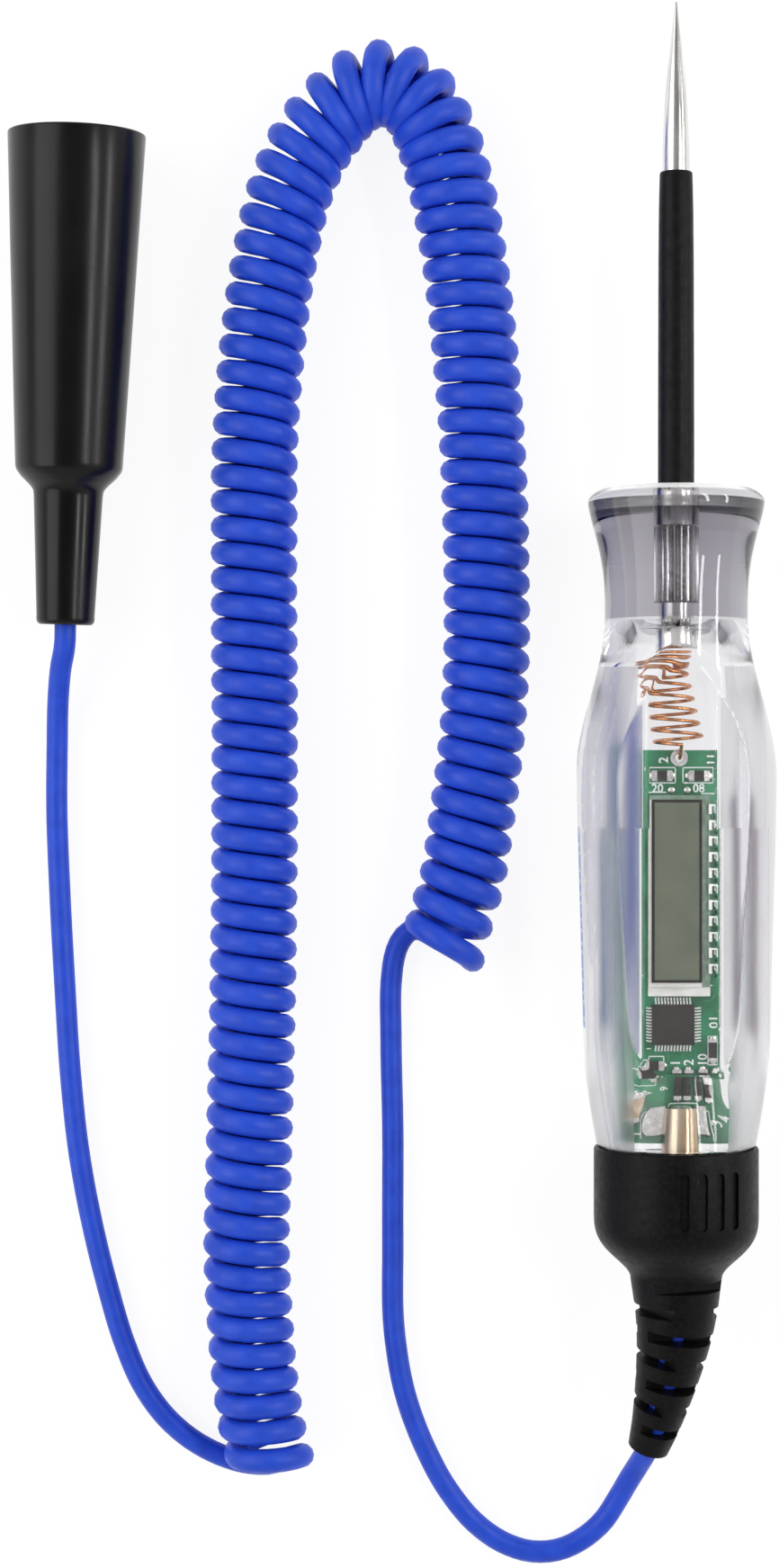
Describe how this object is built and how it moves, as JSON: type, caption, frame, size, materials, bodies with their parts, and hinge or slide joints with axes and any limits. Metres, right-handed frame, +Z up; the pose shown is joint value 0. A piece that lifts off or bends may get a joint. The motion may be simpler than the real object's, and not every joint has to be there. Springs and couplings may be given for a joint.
{
  "type": "digital circuit tester",
  "caption": "Hand-held circuit tester with a clear handle over its display board, a needle probe, and a curly cord to a booted spring clip.",
  "frame": {"origin": "centre of the tester's bounding box at the surface it lies on, without the cord and its clip", "axes": "+Y along the handle towards the probe's tip, +Z up, display facing up"},
  "size_m": [0.123, 0.2527, 0.0282],
  "materials": {
    "clear_plastic": "clear moulded plastic, polished",
    "steel": "turned and ground, satin",
    "copper": "bright copper wire",
    "tin": "bright tin plate and solder",
    "board_green": "green solder mask with white outlines",
    "display_film": "satin reflector film",
    "display_glass": "thin display glass",
    "display_window": "grey-green polariser",
    "chip_black": "dark moulded chip bodies",
    "capacitor_beige": "beige ceramic",
    "sleeve_black": "black shrink tubing, satin",
    "cap_black": "black moulding with a fine grain",
    "cord_blue": "blue cord jacket, satin",
    "boot_black": "smooth black rubber"
  },
  "bodies": {
    "tester": {"handle": "clear_plastic", "probe": "steel", "probe_sleeve": "sleeve_black", "circuit_board": "board_green", "probe_eyelet": "tin", "contact_spring": "copper", "lcd_reflector": "display_film", "lcd_rear_glass": "display_glass", "lcd_front_glass": "display_glass", "lcd_polariser": "display_window", "lcd_pin_row": "tin", "microcontroller": "chip_black", "chip_resistor_1": "chip_black", "chip_resistor_2": "chip_black", "chip_resistor_3": "chip_black", "chip_resistor_4": "chip_black", "chip_resistor_5": "chip_black", "zener_diode_1": "chip_black", "zener_diode_2": "chip_black", "chip_diode": "chip_black", "chip_capacitor": "capacitor_beige", "ground_contact": "tin", "ground_terminal": "steel", "cord_conductor": "copper", "end_cap": "cap_black", "cord_handle_tail": "cord_blue", "cord_coil": "cord_blue", "cord_clip_tail": "cord_blue", "clip_boot": "boot_black", "clip_fixed_jaw": "steel", "clip_pivot_pin": "steel", "clip_spring": "steel", "clip_conductor": "copper"},
    "clip_jaw": {"clip_moving_jaw": "steel"}
  },
  "joints": [
    {"name": "clip_hinge", "type": "hinge", "parent": "tester", "child": "clip_jaw", "pos_m": [-0.09717, 0.06035, 0.0095], "axis": [0.9996, -0.0284, 0], "range_deg": [0, 11], "stiffness_Nm_per_rad": 0.1, "springref_deg": -11.46, "deforming": ["clip_spring"]}
  ]
}
